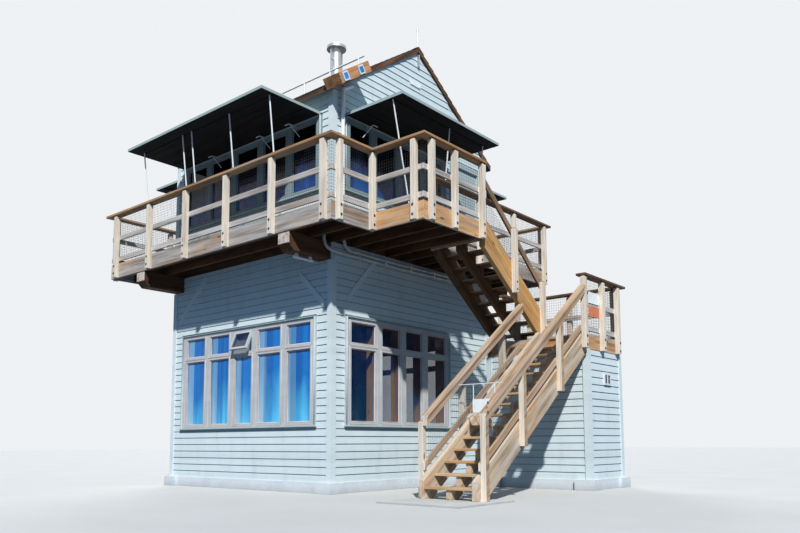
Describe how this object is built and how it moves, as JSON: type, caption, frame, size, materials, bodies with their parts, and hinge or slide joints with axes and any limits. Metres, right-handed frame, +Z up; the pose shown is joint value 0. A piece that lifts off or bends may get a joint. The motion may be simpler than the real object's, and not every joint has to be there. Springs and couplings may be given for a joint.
{
  "type": "fire lookout tower",
  "caption": "Two-storey timber fire lookout with a gabled glazed cab, cantilevered catwalk, propped shutters, and switchback open-riser stair over an annex.",
  "frame": {"origin": "centre of the square tower's footprint, at ground level, under its foundation", "axes": "+X to the right along the gabled front, +Y towards the back, +Z up"},
  "size_m": [7.254, 9.142, 9.0237],
  "materials": {
    "boards": "white painted board, bare",
    "cab_frames": "painted pale window timber",
    "concrete": "cast concrete, trowelled, weathered",
    "deck_boards": "weathered decking",
    "doors": "painted board door",
    "fascia_timber": "grey weathered board with orange stain",
    "fittings": "orange brown stained boards",
    "framing_timber": "weathered sawn timber",
    "glass": "clear float glass",
    "guard_timber": "pale cedar, part weathered",
    "light_metal": "light metal, dull",
    "lower_frames": "painted warm grey window timber",
    "roof_shakes": "dark split shakes",
    "shutter_paint": "painted panel, dark underneath",
    "siding": "painted pale grey green clapboard",
    "stair_timber": "golden cedar",
    "trim": "painted pale grey green board"
  },
  "bodies": {
    "root": {"annex_end_walls": "siding", "annex_side_walls": "siding", "annex_vent": "cab_frames", "back_guard": "guard_timber", "cab_back_wall": "siding", "cab_corner_boards": "trim", "cab_door": "doors", "cab_front_wall": "siding", "cab_glass": "glass", "cab_left_wall": "siding", "cab_right_wall": "siding", "cab_window_frames": "cab_frames", "deck_beams": "framing_timber", "deck_boards": "deck_boards", "deck_fascia": "fascia_timber", "deck_joists": "framing_timber", "flue": "light_metal", "foundation": "concrete", "front_left_guard": "guard_timber", "front_right_guard": "guard_timber", "gables": "siding", "ground_floor": "concrete", "jog_guard": "guard_timber", "landing_back_guard": "guard_timber", "landing_boards": "deck_boards", "landing_front_guard": "guard_timber", "landing_right_guard": "guard_timber", "landing_rim": "fascia_timber", "left_guard": "guard_timber", "lower_back_wall": "siding", "lower_corner_boards": "trim", "lower_door": "doors", "lower_front_wall": "siding", "lower_glass": "glass", "lower_inner_guard": "guard_timber", "lower_left_wall": "siding", "lower_outer_guard": "guard_timber", "lower_right_wall": "siding", "lower_stringers": "stair_timber", "lower_treads": "stair_timber", "lower_window_frames": "lower_frames", "mast": "light_metal", "platform_guard": "guard_timber", "rake_box": "fittings", "rake_lights": "cab_frames", "right_guard": "guard_timber", "roof_left": "roof_shakes", "roof_right": "roof_shakes", "service_conduit": "light_metal", "shutter_hooks": "light_metal", "shutter_props": "light_metal", "shutters": "shutter_paint", "sign_boards": "boards", "snow_rail": "light_metal", "stair_pad": "concrete", "upper_outer_guard": "guard_timber", "upper_stringers": "stair_timber", "upper_treads": "stair_timber", "wall_braces": "trim", "wall_lamp": "light_metal"}
  },
  "joints": []
}
